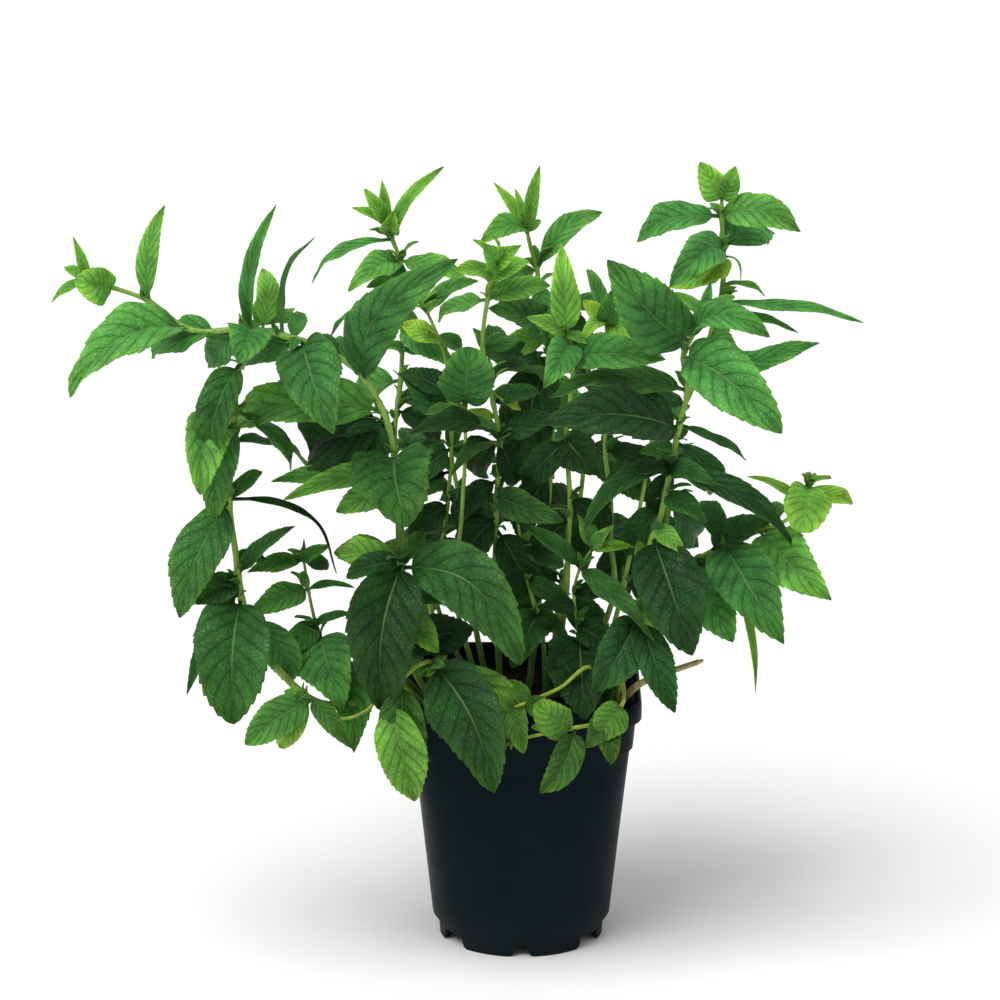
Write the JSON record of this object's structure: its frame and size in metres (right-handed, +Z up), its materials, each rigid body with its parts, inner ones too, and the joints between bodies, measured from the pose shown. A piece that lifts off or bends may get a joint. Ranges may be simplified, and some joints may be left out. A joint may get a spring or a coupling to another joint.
{
  "type": "potted mint plant",
  "caption": "Bushy mint plant with toothed leaves on branching stems, standing in soil in a square-topped dark plastic nursery pot.",
  "frame": {"origin": "on the ground, under the middle of the whole plant's box; the pot's own axis is at x 0.031 m, y -0.005 m", "axes": "+Z up, +X to the right and -Y to the front as the plant is usually seen, with one flat side of the pot's rim square to the front"},
  "size_m": [0.4003, 0.2055, 0.401],
  "materials": {
    "pot_plastic": "satin, near-black with a blue-green cast",
    "soil": "damp crumbly potting soil, with peat and bark",
    "mint_leaf": "soft satin leaf, quilted between its veins"
  },
  "bodies": {
    "root": {"pot": "pot_plastic", "soil": "soil", "stem_left_arch": "mint_leaf", "stem_upper_left": "mint_leaf", "stem_mid_left": "mint_leaf", "stem_round_leaf": "mint_leaf", "stem_centre_left": "mint_leaf", "stem_centre_back": "mint_leaf", "stem_centre_front": "mint_leaf", "stem_centre_right": "mint_leaf", "stem_right_tall": "mint_leaf", "stem_right_front": "mint_leaf", "stem_right_low": "mint_leaf", "stem_left_low": "mint_leaf", "stem_left_small": "mint_leaf", "stem_left_trailing": "mint_leaf", "stem_middle_small": "mint_leaf", "stem_thin_centre": "mint_leaf", "stem_front_left": "mint_leaf", "stem_front_drape": "mint_leaf", "stem_front_centre": "mint_leaf", "stem_front_runner": "mint_leaf", "stem_old_stub": "mint_leaf", "stem_back_left": "mint_leaf", "stem_back_mid_left": "mint_leaf", "stem_back_mid": "mint_leaf", "stem_back_right": "mint_leaf"}
  },
  "joints": []
}
